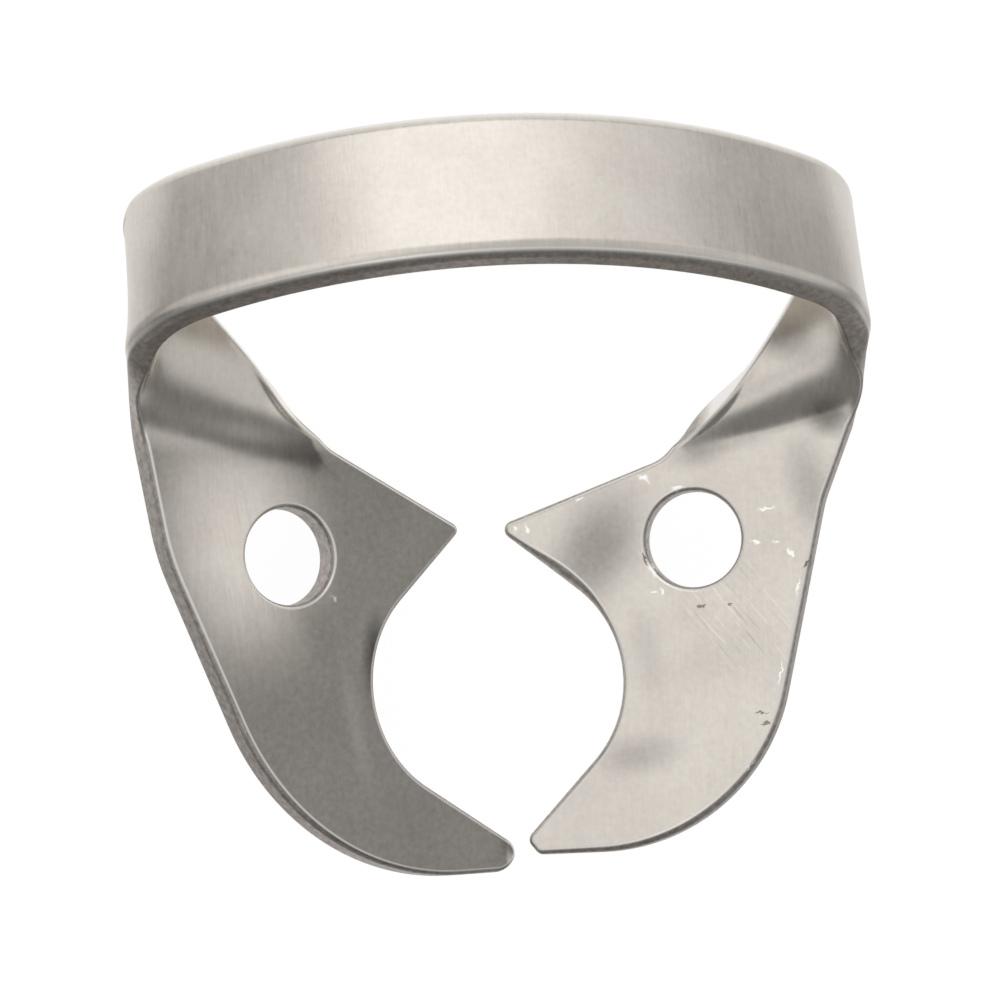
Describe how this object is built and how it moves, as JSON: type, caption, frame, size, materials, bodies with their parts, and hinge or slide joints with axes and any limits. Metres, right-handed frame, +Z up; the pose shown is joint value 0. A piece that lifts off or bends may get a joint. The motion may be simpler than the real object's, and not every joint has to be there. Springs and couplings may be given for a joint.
{
  "type": "rubber dam clamp",
  "caption": "Sheet-steel dental clamp: an arched spring bow carries sloping jaws whose prongs grip a tooth's neck, with round holes that take the forceps.",
  "frame": {"origin": "middle of the footprint, on the surface that the clamp lies on", "axes": "+Z up as it lies on a table, +Y from the jaws' open ends towards the bow, +X to the right seen from above with the bow at the top"},
  "size_m": [0.0248, 0.0268, 0.0079],
  "materials": {
    "steel": "satin stainless sheet with fine brush lines and rolled bright arrises"
  },
  "bodies": {
    "root": {"clamp_body": "steel"}
  },
  "joints": []
}
